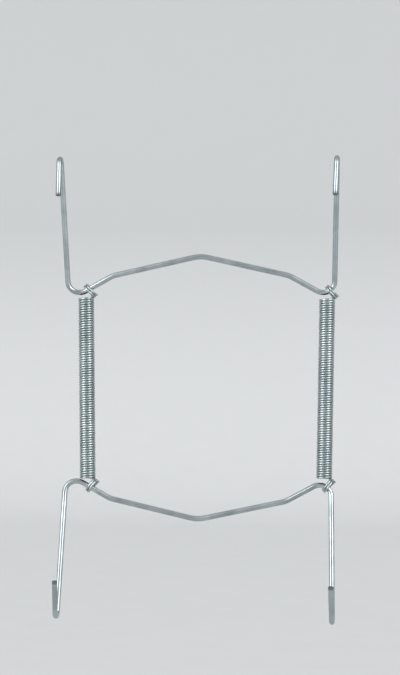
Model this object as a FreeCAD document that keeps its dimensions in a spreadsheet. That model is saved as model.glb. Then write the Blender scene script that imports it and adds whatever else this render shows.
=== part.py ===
"""Wire plate hanger: two bent wires with hooks, drawn together by a pair of coil springs.

X points right, Y to the wall and Z up. The origin is the nail seat, under the middle of the upper wire.
"""
import math
import os

import FreeCAD
import Part
from FreeCAD import Placement, Rotation, Vector

SIZES = (
    ("wire_diameter", "1.2 mm", "Wire that both frames are bent from"),
    ("shoulder_half_span", "19.7 mm", "From the middle to a shoulder bend"),
    ("cross_rise", "4.4 mm", "From the shoulders up to the middle bend"),
    ("seat_half_span", "26.5 mm", "From the middle to the inner corner of a spring seat"),
    ("seat_drop", "3.75 mm", "From the shoulders down to the spring seats"),
    ("seat_flat", "0.2 mm", "Straight run in the bottom of a spring seat"),
    ("seat_radius", "2.5 mm", "Bends at both sides of a spring seat"),
    ("shoulder_radius", "5 mm", "Bend at a shoulder"),
    ("middle_radius", "8 mm", "Bend over the nail"),
    ("arm_length", "28.8 mm", "From the seat's corner to the start of the hook"),
    ("arm_lean_forward", "12 deg", "Lean of the arms away from the wall"),
    ("arm_lean_outward", "1.5 deg", "Lean of the arms to the sides"),
    ("hook_radius", "1.6 mm", "Bend of a hook"),
    ("hook_turn", "147 deg", "Turn of a hook's bend"),
    ("leg_length", "7.6 mm", "Straight leg in front of the plate's rim"),
    ("spring_wire", "0.5 mm", "Wire that the springs are wound from"),
    ("coil_diameter", "3.6 mm", "Outside of a spring's coil"),
    ("coil_gap", "0.02 mm", "Least gap from turn to turn"),
    ("loop_play", "1.45 mm", "Inside of a loop over the wire in it"),
    ("loop_clearance", "0.2 mm", "Gap from a loop's far side to the wire in it"),
    ("loop_lean", "40 deg", "Lean of an end loop over the coil"),
    ("loop_turns", "2", "Turns of wire in an end loop"),
    ("frame_spacing", "58.9 mm", "From the upper wire's middle corner to the lower one's"),
    ("lower_shift", "-0.8 mm", "Sideways place of the lower wire"),
    ("lower_roll", "0.6 deg", "Turn of the lower wire in its own plane"),
    ("upper_slide", "1.5 mm", "Left spring's place on the upper wire's slope"),
    ("lower_slide", "2.7 mm", "Left spring's place on the lower wire's slope"),
    ("seat_angle", "36 deg", "Right spring's place on the seats' outer bends"),
)

X = Vector(1, 0, 0)
Y = Vector(0, 1, 0)


def fill_sheet(doc):
    """Writes the sizes to the sheet, one to a row, each with its alias."""
    sheet = doc.addObject("Spreadsheet::Sheet", "Sizes")
    for row, (alias, value, note) in enumerate(SIZES, start=1):
        sheet.set(f"A{row}", alias)
        sheet.set(f"B{row}", f"={value}")
        sheet.setAlias(f"B{row}", alias)
        sheet.set(f"C{row}", note)
    doc.recompute()
    return sheet


def size(sheet, alias):
    """One size as a number, in millimetres or degrees."""
    value = sheet.get(alias)
    return float(getattr(value, "Value", value))


def radians(sheet, alias):
    return math.radians(size(sheet, alias))


def unit(vector):
    return vector * (1 / vector.Length)


def corner_arc(before, corner, after, radius):
    """Start, middle and end of the arc that rounds a corner."""
    back = unit(before - corner)
    ahead = unit(after - corner)
    half = back.getAngle(ahead) / 2
    reach = radius / math.tan(half)
    inward = unit(back + ahead)
    middle = corner + inward * (radius / math.sin(half) - radius)
    return corner + back * reach, middle, corner + ahead * reach


class BentWire:
    """Centre line of one frame, with its middle corner at (0, 0, 0) and its arms up."""

    def __init__(self, sheet):
        self.sheet = sheet
        span = size(sheet, "seat_half_span") - size(sheet, "shoulder_half_span")
        self.slope = math.atan2(size(sheet, "seat_drop"), span)
        self.radius = size(sheet, "seat_radius")
        self.seat_z = -size(sheet, "cross_rise") - size(sheet, "seat_drop")
        forward = radians(sheet, "arm_lean_forward")
        outward = radians(sheet, "arm_lean_outward")
        self.rise = Vector(0, -math.sin(forward), math.cos(forward))
        self.arm = X * math.sin(outward) + self.rise * math.cos(outward)
        self.front = unit(self.arm * Y.dot(self.arm) - Y)
        inner_reach = self.radius * math.tan(self.slope / 2)
        outer_reach = self.radius * math.tan((math.pi / 2 - outward) / 2)
        self.bend_x = size(sheet, "seat_half_span") + inner_reach + size(sheet, "seat_flat")
        self.arm_x = self.bend_x + outer_reach

    def top_of_middle(self):
        """How far the rounded middle lies under its corner."""
        slope = math.atan2(size(self.sheet, "cross_rise"), size(self.sheet, "shoulder_half_span"))
        return size(self.sheet, "middle_radius") * (1 / math.cos(slope) - 1)

    def on_slope(self, side, slide):
        x = size(self.sheet, "seat_half_span") - slide * math.cos(self.slope)
        return Vector(side * x, 0, self.seat_z + slide * math.sin(self.slope))

    def on_bend(self, side, angle):
        point = Vector(self.bend_x, 0, self.seat_z)
        point += X * (self.radius * math.sin(angle))
        point += self.rise * (self.radius * (1 - math.cos(angle)))
        return Vector(side * point.x, point.y, point.z)

    def half_corners(self):
        """Corners of the right half from the shoulder to the start of the hook, each with its bend."""
        shoulder = Vector(size(self.sheet, "shoulder_half_span"), 0, -size(self.sheet, "cross_rise"))
        inner = Vector(size(self.sheet, "seat_half_span"), 0, self.seat_z)
        outer = Vector(self.arm_x, 0, self.seat_z)
        hook = outer + self.arm * size(self.sheet, "arm_length")
        bends = (size(self.sheet, "shoulder_radius"), self.radius, self.radius, 0)
        return list(zip((shoulder, inner, outer, hook), bends))

    def hook_points(self):
        """Start, middle and end of the right hook's bend, and the tip of its leg."""
        radius = size(self.sheet, "hook_radius")
        turn = radians(self.sheet, "hook_turn")
        start = self.half_corners()[-1][0]
        centre = start + self.front * radius

        def at(angle):
            return centre - self.front * (radius * math.cos(angle)) + self.arm * (radius * math.sin(angle))

        leg = self.front * math.sin(turn) + self.arm * math.cos(turn)
        return start, at(turn / 2), at(turn), at(turn) + leg * size(self.sheet, "leg_length")

    def path(self):
        """The whole centre line as one wire, from the left leg's tip to the right leg's tip."""
        right = self.half_corners()
        left = [(Vector(-p.x, p.y, p.z), bend) for p, bend in reversed(right)]
        corners = left + [(Vector(0, 0, 0), size(self.sheet, "middle_radius"))] + right
        edges = []
        here = corners[0][0]
        for (before, _), (corner, bend), (after, _) in zip(corners, corners[1:], corners[2:]):
            start, middle, end = corner_arc(before, corner, after, bend)
            edges.append(Part.LineSegment(here, start).toShape())
            edges.append(Part.Arc(start, middle, end).toShape())
            here = end
        edges.append(Part.LineSegment(here, corners[-1][0]).toShape())
        start, middle, end, tip = self.hook_points()
        edges.append(Part.Arc(start, middle, end).toShape())
        edges.append(Part.LineSegment(end, tip).toShape())
        start, middle, end, tip = [Vector(-p.x, p.y, p.z) for p in self.hook_points()]
        edges.insert(0, Part.Arc(end, middle, start).toShape())
        edges.insert(0, Part.LineSegment(tip, end).toShape())
        return Part.Wire(edges)


class Spring:
    """Centre line of one spring, wound right-handed, with its coil's middle at (0, 0, 0).

    It is a chain of half turns. Their ends lie in the plane Y = 0, and they pass in front of it and
    behind it by turns, so that each half turn meets the next one squarely.
    """

    def __init__(self, sheet):
        self.radius = (size(sheet, "coil_diameter") - size(sheet, "spring_wire")) / 2
        self.step = size(sheet, "spring_wire") + size(sheet, "coil_gap")
        self.wire = size(sheet, "spring_wire")
        frame = size(sheet, "wire_diameter")
        self.loop = (frame + size(sheet, "loop_play") + self.wire) / 2
        self.loop_turns = int(size(sheet, "loop_turns"))
        lean = radians(sheet, "loop_lean")
        self.along = Vector(math.cos(lean), 0, math.sin(lean))
        self.over = Vector(-math.sin(lean), 0, math.cos(lean))
        seat = 2 * self.loop - self.wire / 2 - frame / 2 - size(sheet, "loop_clearance")
        hold = self.over * seat + self.along * (self.step * self.loop_turns / 2)
        self.hold = Vector(self.radius + hold.x, 0, hold.z)

    def body(self, upper, lower):
        """Length of the coil between two places on the frames."""
        return (upper - lower).Length - 2 * self.hold.z

    def loop_ends(self, count):
        """Ends of the half turns in a loop over the coil's right side, the nearest to the coil first."""
        ends = []
        for k in range(1, count + 1):
            far = self.over * (2 * self.loop) if k % 2 else Vector(0, 0, 0)
            ends.append(far + self.along * (self.step * k / 2))
        return ends

    def path(self, body, turns):
        """The whole centre line as one wire, from the upper loop's end to the lower loop's end."""
        top = Vector(self.radius, 0, body / 2)
        loop = self.loop_ends(2 * self.loop_turns)
        points = [top + end for end in reversed(loop)]
        for k in range(2 * turns + 1):
            x = -self.radius if k % 2 else self.radius
            points.append(Vector(x, 0, body / 2 - k * body / (2 * turns)))
        bottom = points[-1]
        points += [bottom + Vector(end.x, 0, -end.z) for end in loop]
        edges = []
        side = -1
        for start, end in zip(points, points[1:]):
            middle = (start + end) * 0.5 + Y * (side * (end - start).Length / 2)
            edges.append(Part.Arc(start, middle, end).toShape())
            side = -side
        return Part.Wire(edges)

    def placement(self, upper, lower):
        """Puts the loops' holds on the two places."""
        reach = upper - lower
        turn = Rotation(Y, math.degrees(math.atan2(reach.x, reach.z)))
        middle = (upper + lower) * 0.5
        return Placement(middle - turn.multVec(Vector(self.hold.x, 0, 0)), turn)


def swept(doc, name, path, placement, radius):
    """A round wire along a path, with the section's radius bound to the sheet."""
    line = doc.addObject("Part::Feature", f"{name}_line")
    line.Shape = path
    line.Placement = placement
    edge = line.Shape.OrderedEdges[0]
    start = line.Shape.OrderedVertexes[0].Point
    section = doc.addObject("Part::Circle", f"{name}_section")
    section.setExpression("Radius", radius)
    first = edge.FirstParameter
    if (edge.valueAt(first) - start).Length > 0.001:
        first = edge.LastParameter
    section.Placement = Placement(start, Rotation(Vector(0, 0, 1), edge.tangentAt(first)))
    sweep = doc.addObject("Part::Sweep", name)
    sweep.Sections = [section]
    sweep.Spine = (line, [f"Edge{k}" for k in range(1, len(line.Shape.Edges) + 1)])
    sweep.Solid = True
    sweep.Frenet = False
    return sweep


def build(doc):
    """The four pieces of the hanger."""
    sheet = fill_sheet(doc)
    frame = BentWire(sheet)
    spring = Spring(sheet)
    corner_z = size(sheet, "wire_diameter") / 2 + frame.top_of_middle()
    upper = Placement(Vector(0, 0, corner_z), Rotation())
    low_point = Vector(size(sheet, "lower_shift"), 0, corner_z - size(sheet, "frame_spacing"))
    lower = Placement(low_point, Rotation(Y, 180 + size(sheet, "lower_roll")))
    seat_angle = radians(sheet, "seat_angle")
    holds = {
        "left_spring": (
            upper.multVec(frame.on_slope(-1, size(sheet, "upper_slide"))),
            lower.multVec(frame.on_slope(1, size(sheet, "lower_slide"))),
        ),
        "right_spring": (
            upper.multVec(frame.on_bend(1, seat_angle)),
            lower.multVec(frame.on_bend(-1, seat_angle)),
        ),
    }
    turns = int(min(spring.body(*ends) for ends in holds.values()) / spring.step)
    pieces = [
        swept(doc, "upper_wire", frame.path(), upper, "Sizes.wire_diameter / 2"),
        swept(doc, "lower_wire", frame.path(), lower, "Sizes.wire_diameter / 2"),
    ]
    for name, ends in holds.items():
        path = spring.path(spring.body(*ends), turns)
        pieces.append(swept(doc, name, path, spring.placement(*ends), "Sizes.spring_wire / 2"))
    doc.recompute()
    return pieces


def check(doc, pieces):
    """Stops at an object that did not compute, or at a piece that is not one sound solid."""
    for thing in doc.Objects:
        if "Invalid" in thing.State or "Error" in thing.State:
            raise RuntimeError(f"{thing.Name} did not compute: {thing.State}")
    for piece in pieces:
        shape = piece.Shape
        if not shape.isValid() or len(shape.Solids) != 1 or shape.Volume <= 0:
            raise RuntimeError(f"{piece.Name} is not one sound solid")


def main():
    doc = FreeCAD.newDocument("plate_hanger")
    pieces = build(doc)
    check(doc, pieces)
    os.makedirs("parts", exist_ok=True)
    for piece in pieces:
        piece.Shape.exportStep(f"parts/{piece.Name}.step")


main()
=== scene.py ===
"""Looks of the wire plate hanger: zinc-plated wire, two coil springs, a studio and a camera."""

import math

import bmesh
import bpy
from mathutils import Matrix, Vector
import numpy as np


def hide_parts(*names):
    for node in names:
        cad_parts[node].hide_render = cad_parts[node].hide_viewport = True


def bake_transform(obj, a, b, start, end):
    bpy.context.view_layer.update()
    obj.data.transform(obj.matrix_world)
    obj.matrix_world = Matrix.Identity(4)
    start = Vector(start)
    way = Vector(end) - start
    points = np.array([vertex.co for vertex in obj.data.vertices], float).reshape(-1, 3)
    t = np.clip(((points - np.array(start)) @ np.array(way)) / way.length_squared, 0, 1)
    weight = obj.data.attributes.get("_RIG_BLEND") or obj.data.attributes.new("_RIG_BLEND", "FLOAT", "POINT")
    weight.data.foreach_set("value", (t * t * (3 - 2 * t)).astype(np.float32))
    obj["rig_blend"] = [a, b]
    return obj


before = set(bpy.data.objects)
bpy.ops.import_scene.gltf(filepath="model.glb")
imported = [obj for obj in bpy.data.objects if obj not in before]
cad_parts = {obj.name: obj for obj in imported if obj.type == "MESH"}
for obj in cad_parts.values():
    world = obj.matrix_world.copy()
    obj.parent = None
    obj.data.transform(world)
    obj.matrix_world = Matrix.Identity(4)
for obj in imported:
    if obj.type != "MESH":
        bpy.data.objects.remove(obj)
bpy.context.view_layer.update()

MM = 0.001
Y_AXIS = Vector((0, 1, 0))

# Springs, in millimetres, as in the part's source
SPRING_WIRE = 0.5
COIL_RADIUS = 1.55
COIL_STEP = 0.52
COIL_TURNS = 76
LOOP_RADIUS = 1.575
LOOP_TURNS = 2
LOOP_LEAN = math.radians(40)
LOOP_SEAT = 2.1

# Directions along a loop's axis and across it, and the held wire's place from the loop's foot
LOOP_ALONG = Vector((math.cos(LOOP_LEAN), 0, math.sin(LOOP_LEAN)))
LOOP_ACROSS = Vector((-math.sin(LOOP_LEAN), 0, math.cos(LOOP_LEAN)))
LOOP_HOLD = LOOP_ALONG * (COIL_STEP * LOOP_TURNS / 2) + LOOP_ACROSS * LOOP_SEAT

# Where each spring's loops hold the upper and the lower wire, in millimetres
HOLDS = {
    "left_spring": (Vector((-25.1865, 0, -6.6285)), Vector((-24.8627, 0, -51.0044))),
    "right_spring": (Vector((28.8131, -0.0993, -6.8859)), Vector((28.0920, -0.0993, -50.7221))),
}

# Tips of the hooks' legs, in millimetres
LEG_TIPS = [
    Vector((-30.35, -11.77, 13.96)),
    Vector((30.35, -11.77, 13.96)),
    Vector((-31.29, -11.77, -70.94)),
    Vector((29.41, -11.77, -71.58)),
]

# Fineness of the springs' meshes
SECTION_SIDES = 12
STEPS_PER_HALF_TURN = 12
SHARP_ANGLE = math.radians(50)

# Zinc plate, with sizes in millimetres. Its real grain is a few thousandths wide and would not show,
# so it is drawn much coarser
CLOUD_SIZE = 4.0
FILM_SIZE = 9.0
FILM_BLUE = "#a5b1b6"
FILM_SHARE = 0.5
GRAIN_SIZE = 0.3
GRAIN_RELIEF = 0.02
RUBBED_ZINC = "#c3cacb"
RUB_INNER = 1.0
RUB_OUTER = 2.6
RUB_ROUGHNESS = -0.08
SHEARED_STEEL = "#767d7f"
SHEAR_INNER = 0.62
SHEAR_OUTER = 0.9
SHEAR_ROUGHNESS = 0.2

# Sockets of a Mix node for colours, which share their names with those for other kinds of value
MIX_SHARE = 0
MIX_FROM = 6
MIX_TO = 7
MIX_COLOUR = 2

# Camera, in metres and degrees, with its lens in millimetres
AIM = Vector((-0.0002, 0, -0.0174))
CAMERA_AZIMUTH = 5.0
CAMERA_ELEVATION = 1.0
CAMERA_DISTANCE = 0.55
CAMERA_CLIP = 0.01
LENS = 131.4

# Stage, in metres, with the paper's clouds in millimetres
FLOOR_HEIGHT = -0.155
STAGE_HALF_WIDTH = 12.0
STAGE_FRONT = -15.0
STAGE_BEND = 1.0
STAGE_BEND_RADIUS = 0.5
STAGE_BEND_STEPS = 24
STAGE_TOP = 1.0
STAGE_GRADE = 0.2
PAPER_CLOUD_SIZE = 16.0
PAPER_GREY = "#c7c9ca"
PAPER_PALE = "#cbcdce"
WALL_GREY = "#acaeaf"

# Surround, as strengths by the height of the direction, from 0 at the horizon to 1 overhead
HORIZON_EDGE = 0.08
HORIZON_GLOW = 0.44
SURROUND_EDGE = 0.24
SURROUND_SIDES = 0.18
SURROUND_TOP = 0.7
SURROUND_WHITE = "#ffffff"

# Softboxes, in metres and watts
SOFTBOX_ASIDE = 5.8
SOFTBOX_FORWARD = 4.8
SOFTBOX_HEIGHT = 3.2
SOFTBOX_WIDTH = 4.3
SOFTBOX_LENGTH = 7.2
SOFTBOX_POWER = 590


def linear(colour):
    """Linear RGBA of an sRGB hex colour."""
    shares = [int(colour[i : i + 2], 16) / 255 for i in (1, 3, 5)]
    return [s / 12.92 if s <= 0.04045 else ((s + 0.055) / 1.055) ** 2.4 for s in shares] + [1.0]


def add(tree, kind, inputs=None, **settings):
    """Adds a node with its settings. Each input is a value or the output that feeds it."""
    made = tree.nodes.new(kind)
    for name, value in settings.items():
        setattr(made, name, value)
    for name, value in (inputs or {}).items():
        if isinstance(value, bpy.types.NodeSocket):
            tree.links.new(value, made.inputs[name])
        else:
            made.inputs[name].default_value = value
    return made


def new_material(name):
    """A node material with no nodes yet, and the tree that they go into."""
    material = bpy.data.materials.new(name)
    material.use_nodes = True
    material.node_tree.nodes.clear()
    return material, material.node_tree


def near_places(tree, place, spots, inner, outer):
    """Mask that is 1 within the inner distance of any spot and 0 past the outer one, in millimetres."""
    nearest = None
    for spot in spots:
        away = add(tree, "ShaderNodeVectorMath", {0: place, 1: spot * MM}, operation="DISTANCE")
        reach = away.outputs["Value"]
        if nearest is not None:
            reach = add(tree, "ShaderNodeMath", {0: nearest, 1: reach}, operation="MINIMUM").outputs[0]
        nearest = reach
    mask = add(
        tree,
        "ShaderNodeMapRange",
        {"Value": nearest, "From Min": inner * MM, "From Max": outer * MM, "To Min": 1.0, "To Max": 0.0},
    )
    return mask.outputs["Result"]


def zinc_plate(name, bright, dull, smooth, rough, rubbed=(), sheared=()):
    """Zinc plating on drawn steel wire, brighter where it is rubbed and bare steel where it is sheared."""
    material, tree = new_material(name)
    place = add(tree, "ShaderNodeTexCoord").outputs["Object"]
    clouds = add(
        tree,
        "ShaderNodeTexNoise",
        {"Vector": place, "Scale": 1 / (CLOUD_SIZE * MM), "Detail": 3.0, "Roughness": 0.6},
    )
    film = add(
        tree,
        "ShaderNodeTexNoise",
        {"Vector": place, "Scale": 1 / (FILM_SIZE * MM), "Detail": 1.0},
    )
    grain = add(
        tree,
        "ShaderNodeTexNoise",
        {"Vector": place, "Scale": 1 / (GRAIN_SIZE * MM), "Detail": 2.0, "Roughness": 0.5},
    )
    cloudy = add(
        tree,
        "ShaderNodeMapRange",
        {"Value": clouds.outputs["Fac"], "From Min": 0.35, "From Max": 0.65},
    )
    filmed = add(
        tree,
        "ShaderNodeMapRange",
        {"Value": film.outputs["Fac"], "From Min": 0.4, "From Max": 0.7, "To Max": FILM_SHARE},
    )
    colour = add(
        tree,
        "ShaderNodeMix",
        {MIX_SHARE: cloudy.outputs["Result"], MIX_FROM: linear(dull), MIX_TO: linear(bright)},
        data_type="RGBA",
    ).outputs[MIX_COLOUR]
    colour = add(
        tree,
        "ShaderNodeMix",
        {MIX_SHARE: filmed.outputs["Result"], MIX_FROM: colour, MIX_TO: linear(FILM_BLUE)},
        data_type="RGBA",
    ).outputs[MIX_COLOUR]
    gloss = add(
        tree,
        "ShaderNodeMapRange",
        {
            "Value": grain.outputs["Fac"],
            "From Min": 0.3,
            "From Max": 0.7,
            "To Min": smooth,
            "To Max": rough,
        },
    ).outputs["Result"]
    for spots, inner, outer, finish, change in (
        (rubbed, RUB_INNER, RUB_OUTER, RUBBED_ZINC, RUB_ROUGHNESS),
        (sheared, SHEAR_INNER, SHEAR_OUTER, SHEARED_STEEL, SHEAR_ROUGHNESS),
    ):
        if spots:
            mask = near_places(tree, place, spots, inner, outer)
            colour = add(
                tree,
                "ShaderNodeMix",
                {MIX_SHARE: mask, MIX_FROM: colour, MIX_TO: linear(finish)},
                data_type="RGBA",
            ).outputs[MIX_COLOUR]
            gloss = add(
                tree, "ShaderNodeMath", {0: mask, 1: change, 2: gloss}, operation="MULTIPLY_ADD"
            ).outputs[0]
    relief = add(
        tree,
        "ShaderNodeBump",
        {"Height": grain.outputs["Fac"], "Strength": 0.25, "Distance": GRAIN_RELIEF * MM},
    )
    metal = add(
        tree,
        "ShaderNodeBsdfPrincipled",
        {
            "Base Color": colour,
            "Metallic": 1.0,
            "Roughness": gloss,
            "Normal": relief.outputs["Normal"],
        },
    )
    add(tree, "ShaderNodeOutputMaterial", {"Surface": metal.outputs["BSDF"]})
    return material


def studio_paper():
    """Matt paper, faintly cloudy, that gets darker up the wall."""
    material, tree = new_material("matt studio paper")
    place = add(tree, "ShaderNodeTexCoord").outputs["Object"]
    fibre = add(
        tree,
        "ShaderNodeTexNoise",
        {"Vector": place, "Scale": 1 / (PAPER_CLOUD_SIZE * MM), "Detail": 3.0},
    )
    rise = add(
        tree,
        "ShaderNodeMapRange",
        {
            "Value": add(tree, "ShaderNodeSeparateXYZ", {"Vector": place}).outputs["Z"],
            "From Min": FLOOR_HEIGHT,
            "From Max": FLOOR_HEIGHT + STAGE_GRADE,
        },
    )
    floor = add(
        tree,
        "ShaderNodeMix",
        {MIX_SHARE: fibre.outputs["Fac"], MIX_FROM: linear(PAPER_GREY), MIX_TO: linear(PAPER_PALE)},
        data_type="RGBA",
    ).outputs[MIX_COLOUR]
    colour = add(
        tree,
        "ShaderNodeMix",
        {MIX_SHARE: rise.outputs["Result"], MIX_FROM: floor, MIX_TO: linear(WALL_GREY)},
        data_type="RGBA",
    ).outputs[MIX_COLOUR]
    paper = add(
        tree,
        "ShaderNodeBsdfPrincipled",
        {"Base Color": colour, "Roughness": 0.9, "Specular IOR Level": 0.1},
    )
    add(tree, "ShaderNodeOutputMaterial", {"Surface": paper.outputs["BSDF"]})
    return material


def new_object(name, data):
    """An object at the origin, linked to the scene."""
    made = bpy.data.objects.new(name, data)
    bpy.context.scene.collection.objects.link(made)
    return made


def smooth_piece(name, bm, material):
    """An object with the bmesh as its smooth mesh. The bmesh is used up."""
    for face in bm.faces:
        face.smooth = True
    mesh = bpy.data.meshes.new(name)
    bm.to_mesh(mesh)
    bm.free()
    mesh.materials.append(material)
    return new_object(name, mesh)


def of_kind(parts, kind):
    """Those of an operator's results that are of one kind, such as edges."""
    return [part for part in parts if isinstance(part, kind)]


def spring_points(body):
    """Ends of a spring's half turns, from the upper loop's end to the lower one's, in millimetres."""
    loop = []
    for k in range(1, 2 * LOOP_TURNS + 1):
        far = LOOP_ACROSS * (2 * LOOP_RADIUS) if k % 2 else Vector()
        loop.append(far + LOOP_ALONG * (COIL_STEP * k / 2))
    top = Vector((COIL_RADIUS, 0, body / 2))
    points = [top + end for end in reversed(loop)]
    for k in range(2 * COIL_TURNS + 1):
        x = -COIL_RADIUS if k % 2 else COIL_RADIUS
        points.append(Vector((x, 0, body / 2 - k * body / (2 * COIL_TURNS))))
    bottom = points[-1]
    return points + [bottom + Vector((end.x, 0, -end.z)) for end in loop]


def spun_wire(points):
    """A bmesh of round wire, spun half turn by half turn from each point to the next."""
    bm = bmesh.new()
    face_along_y = Matrix.Translation(points[0]) @ Matrix.Rotation(math.radians(90), 4, "X")
    bmesh.ops.create_circle(
        bm,
        cap_ends=True,
        radius=SPRING_WIRE / 2,
        segments=SECTION_SIDES,
        matrix=face_along_y,
    )
    ring = list(bm.edges)
    side = 1
    for start, end in zip(points, points[1:]):
        spun = bmesh.ops.spin(
            bm,
            geom=ring,
            cent=(start + end) / 2,
            axis=(end - start).cross(Y_AXIS).normalized() * side,
            angle=math.pi,
            steps=STEPS_PER_HALF_TURN,
        )
        ring = of_kind(spun["geom_last"], bmesh.types.BMEdge)
        side = -side
    bmesh.ops.contextual_create(bm, geom=ring)
    bmesh.ops.recalc_face_normals(bm, faces=bm.faces)
    return bm


def part_turns(piece, top, bottom):
    """One weight for each ring of the wire, so that a stretched coil opens and its wire stays round."""
    vertices = piece.data.vertices
    weights = piece.data.attributes["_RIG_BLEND"].data
    for first in range(0, len(vertices), SECTION_SIDES):
        ring = range(first, first + SECTION_SIDES)
        height = sum(vertices[i].co.z for i in ring) / SECTION_SIDES
        share = min(max((top - height) / (top - bottom), 0), 1)
        for i in ring:
            weights[i].value = share


def coil_spring(name, node, material):
    """A close-wound spring with a double loop at each end, hung between its two holds."""
    upper, lower = HOLDS[node]
    reach = upper - lower
    body = reach.length - 2 * LOOP_HOLD.z
    turn = Matrix.Rotation(math.atan2(reach.x, reach.z), 4, "Y")
    centre = (upper + lower) / 2 - turn @ Vector((COIL_RADIUS + LOOP_HOLD.x, 0, 0))
    bm = spun_wire(spring_points(body))
    bmesh.ops.transform(
        bm,
        matrix=Matrix.Scale(MM, 4) @ Matrix.Translation(centre) @ turn,
        verts=bm.verts,
    )
    piece = smooth_piece(name, bm, material)
    piece.data.set_sharp_from_angle(angle=SHARP_ANGLE)

    top = (centre + turn @ Vector((0, 0, body / 2))) * MM
    bottom = (centre - turn @ Vector((0, 0, body / 2))) * MM
    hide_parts(node)
    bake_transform(piece, "springs", "lower", start=top, end=bottom)
    part_turns(piece, top.z, bottom.z)


def studio_sweep():
    """A pale floor that runs back and curves up into a wall."""
    bm = bmesh.new()
    corners = [
        bm.verts.new((x, STAGE_FRONT, FLOOR_HEIGHT)) for x in (-STAGE_HALF_WIDTH, STAGE_HALF_WIDTH)
    ]
    front = bm.edges.new(corners)
    made = bmesh.ops.extrude_edge_only(bm, edges=[front])["geom"]
    moved = of_kind(made, bmesh.types.BMVert)
    bmesh.ops.translate(bm, verts=moved, vec=(0, STAGE_BEND - STAGE_FRONT, 0))
    far = [edge for edge in of_kind(made, bmesh.types.BMEdge) if all(v in moved for v in edge.verts)]
    made = bmesh.ops.spin(
        bm,
        geom=far,
        cent=(0, STAGE_BEND, FLOOR_HEIGHT + STAGE_BEND_RADIUS),
        axis=(1, 0, 0),
        angle=math.radians(90),
        steps=STAGE_BEND_STEPS,
    )["geom_last"]
    far = of_kind(made, bmesh.types.BMEdge)
    made = bmesh.ops.extrude_edge_only(bm, edges=far)["geom"]
    moved = of_kind(made, bmesh.types.BMVert)
    bmesh.ops.translate(bm, verts=moved, vec=(0, 0, STAGE_TOP))
    bmesh.ops.recalc_face_normals(bm, faces=bm.faces)
    smooth_piece("studio_sweep", bm, studio_paper())


def softbox(name, aside):
    """A large rectangular lamp that faces the nail's seat and doesn't show in the picture."""
    lamp = bpy.data.lights.new(name, "AREA")
    lamp.shape = "RECTANGLE"
    lamp.size = SOFTBOX_WIDTH
    lamp.size_y = SOFTBOX_LENGTH
    lamp.energy = SOFTBOX_POWER
    box = new_object(name, lamp)
    place = Vector((aside, -SOFTBOX_FORWARD, SOFTBOX_HEIGHT))
    box.location = place
    box.rotation_euler = (-place).to_track_quat("-Z", "Y").to_euler()
    box.visible_camera = False


def studio_surround():
    """A white surround that glows at the horizon, is dim above it and is brightest overhead."""
    world = bpy.data.worlds.new("studio surround")
    bpy.context.scene.world = world
    world.use_nodes = True
    tree = world.node_tree
    tree.nodes.clear()
    direction = add(tree, "ShaderNodeTexCoord").outputs["Generated"]
    height = add(tree, "ShaderNodeSeparateXYZ", {"Vector": direction}).outputs["Z"]
    overhead = add(
        tree,
        "ShaderNodeMapRange",
        {
            "Value": height,
            "From Min": SURROUND_EDGE,
            "From Max": 1.0,
            "To Min": SURROUND_SIDES,
            "To Max": SURROUND_TOP,
        },
        interpolation_type="SMOOTHSTEP",
    )
    horizon = add(
        tree,
        "ShaderNodeMapRange",
        {
            "Value": height,
            "From Min": HORIZON_EDGE,
            "From Max": SURROUND_EDGE,
            "To Min": HORIZON_GLOW,
            "To Max": 0.0,
        },
        interpolation_type="SMOOTHSTEP",
    )
    strength = add(
        tree,
        "ShaderNodeMath",
        {0: overhead.outputs["Result"], 1: horizon.outputs["Result"]},
        operation="ADD",
    )
    surround = add(
        tree,
        "ShaderNodeBackground",
        {"Color": linear(SURROUND_WHITE), "Strength": strength.outputs[0]},
    )
    add(tree, "ShaderNodeOutputWorld", {"Surface": surround.outputs["Background"]})


def place_camera():
    """A camera at the photograph's angle, level with the upper third of the hanger."""
    azimuth = math.radians(CAMERA_AZIMUTH)
    elevation = math.radians(CAMERA_ELEVATION)
    level = math.cos(elevation)
    back = Vector((math.sin(azimuth) * level, -math.cos(azimuth) * level, math.sin(elevation)))
    data = bpy.data.cameras.new("camera")
    data.lens = LENS
    data.clip_start = CAMERA_CLIP
    camera = new_object("camera", data)
    camera.location = AIM + back * CAMERA_DISTANCE
    camera.rotation_euler = (-back).to_track_quat("-Z", "Y").to_euler()
    bpy.context.scene.camera = camera


# Bright zinc plate on drawn wire: a cool satin grey, faintly cloudy, with a blue passivation film that
# comes and goes along the wire, brighter where the loops rub it and dull on the sheared ends of the legs
wire_finish = zinc_plate(
    "zinc-plated drawn wire",
    bright="#b2babb",
    dull="#959fa0",
    smooth=0.28,
    rough=0.42,
    rubbed=[hold for ends in HOLDS.values() for hold in ends],
    sheared=LEG_TIPS,
)
for name in ("upper_wire", "lower_wire"):
    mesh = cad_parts[name].data
    mesh.materials.clear()
    mesh.materials.append(wire_finish)

# The same plate on spring wire: a little paler and more matt, because the coil is tumbled after plating
spring_finish = zinc_plate(
    "zinc-plated spring wire",
    bright="#b4bcbd",
    dull="#99a4a5",
    smooth=0.3,
    rough=0.45,
)
coil_spring("left_coil", "left_spring", spring_finish)
coil_spring("right_coil", "right_spring", spring_finish)

studio_sweep()
studio_surround()
softbox("left softbox", -SOFTBOX_ASIDE)
softbox("right softbox", SOFTBOX_ASIDE)
place_camera()
bpy.context.scene.view_settings.view_transform = "Standard"
